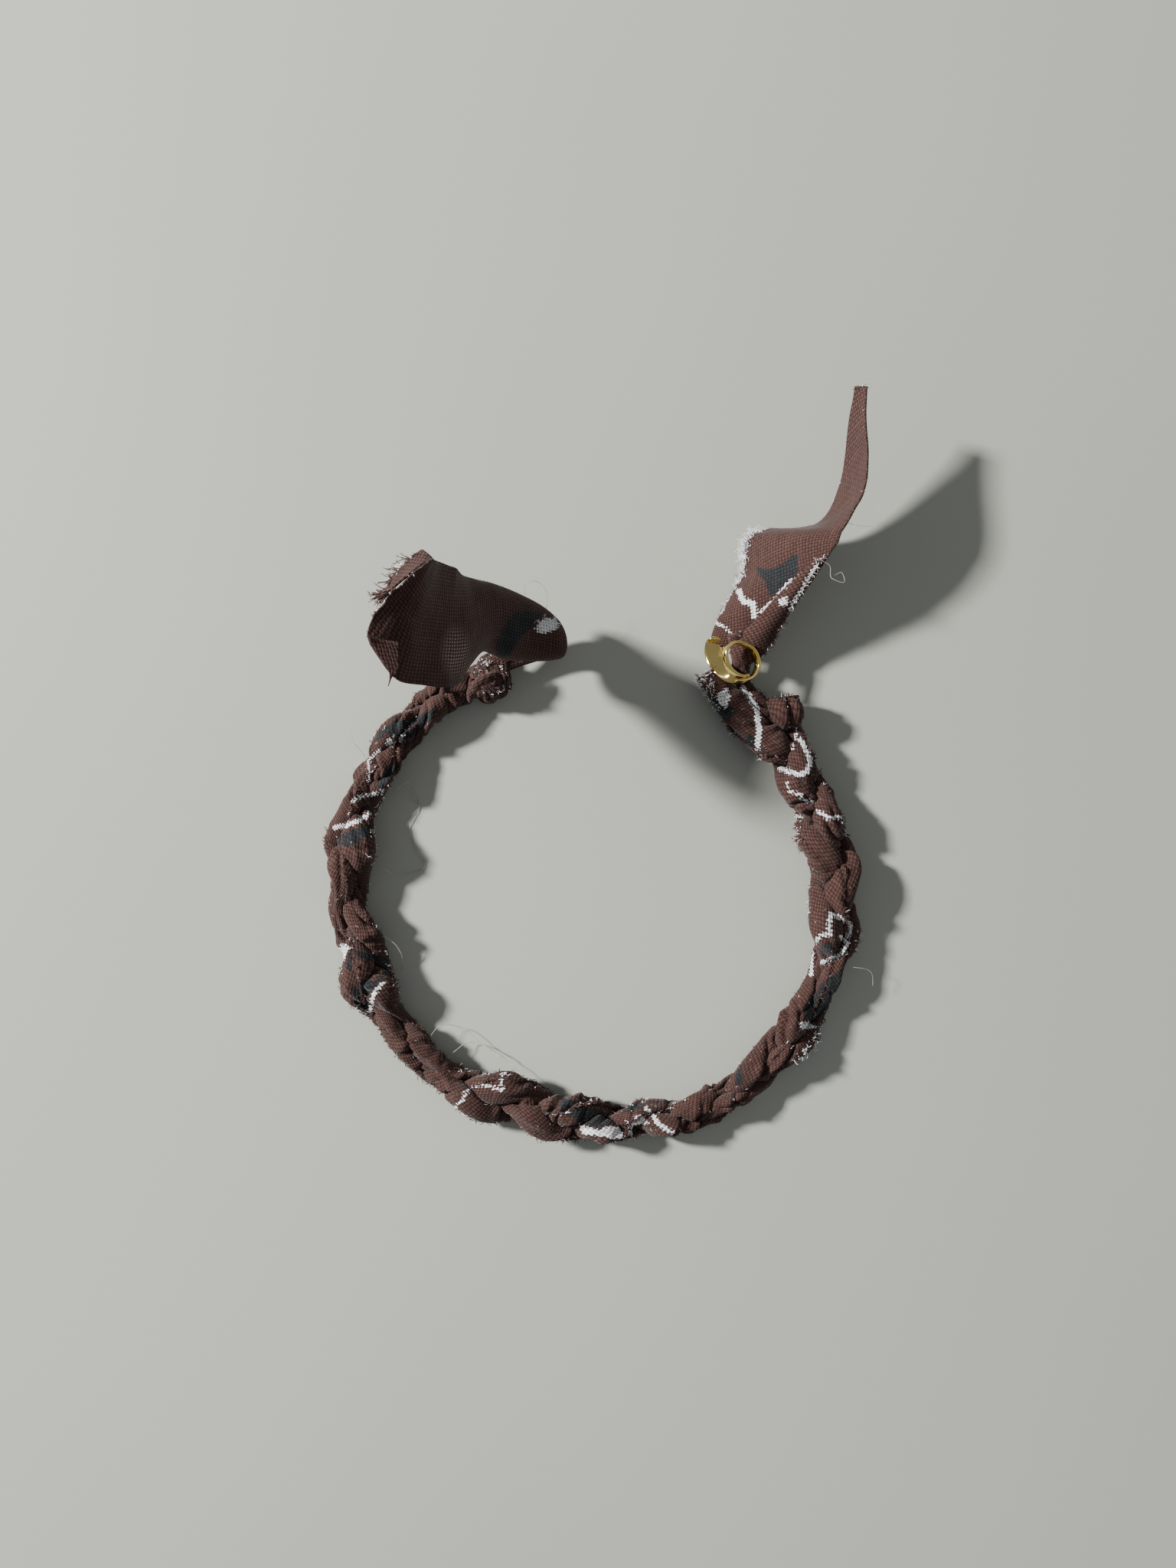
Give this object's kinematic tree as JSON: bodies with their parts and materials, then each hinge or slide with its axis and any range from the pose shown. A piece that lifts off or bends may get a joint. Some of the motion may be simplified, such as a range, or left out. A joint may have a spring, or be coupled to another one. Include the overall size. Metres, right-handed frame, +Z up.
{
  "type": "braided cloth band",
  "caption": "Open C-shaped band braided from torn printed cotton strips, with loose frayed tails and a small coiled brass ring clipped round one end.",
  "frame": {"origin": "middle of the bounding box on the ground plane z = 0, which the band lies on", "axes": "+Z up through the band's hole, +Y towards the open mouth of the C and the tails, +X towards the ring's end"},
  "size_m": [0.0752, 0.1024, 0.0344],
  "materials": {
    "cloth_a": "matte woven cotton, torn edges",
    "cloth_b": "matte woven cotton, torn edges",
    "cloth_c": "matte woven cotton, torn edges",
    "brass": "polished"
  },
  "bodies": {
    "band_crown": {"strand_a_crown": "cloth_a", "strand_b_crown": "cloth_b", "strand_c_crown": "cloth_c"},
    "band_left": {"strand_a_left": "cloth_a", "strand_b_left": "cloth_b", "strand_c_left": "cloth_c", "left_knot": "cloth_b", "left_tail_loop": "cloth_c"},
    "band_right": {"strand_a_right": "cloth_a", "strand_b_right": "cloth_b", "strand_c_right": "cloth_c"},
    "left_tail": {"left_tail_flag": "cloth_c"},
    "right_tail": {"right_tail_flag": "cloth_a"},
    "ring": {"coil_ring": "brass"}
  },
  "joints": [
    {"name": "flex_left", "type": "hinge", "parent": "band_crown", "child": "band_left", "pos_m": [-0.01931, -0.04108, 0.0028], "axis": [0, 0, 1], "range_deg": [-8, 15]},
    {"name": "flex_right", "type": "hinge", "parent": "band_crown", "child": "band_right", "pos_m": [0.01923, -0.04108, 0.0028], "axis": [0, 0, -1], "range_deg": [-8, 15]},
    {"name": "left_tail_lift", "type": "hinge", "parent": "band_left", "child": "left_tail", "pos_m": [-0.00394, 0.01944, 0.00645], "axis": [-0.0799, 0.9963, -0.03], "range_deg": [-30, 60]},
    {"name": "right_tail_lift", "type": "hinge", "parent": "band_right", "child": "right_tail", "pos_m": [0.01766, 0.02134, 0.0052], "axis": [1, 0, 0], "range_deg": [-5, 45]},
    {"name": "ring_swing", "type": "hinge", "parent": "band_right", "child": "ring", "pos_m": [0.01866, 0.01734, 0.00512], "axis": [-0.3762, 0.9265, 0], "range_deg": [-20, 20]}
  ]
}
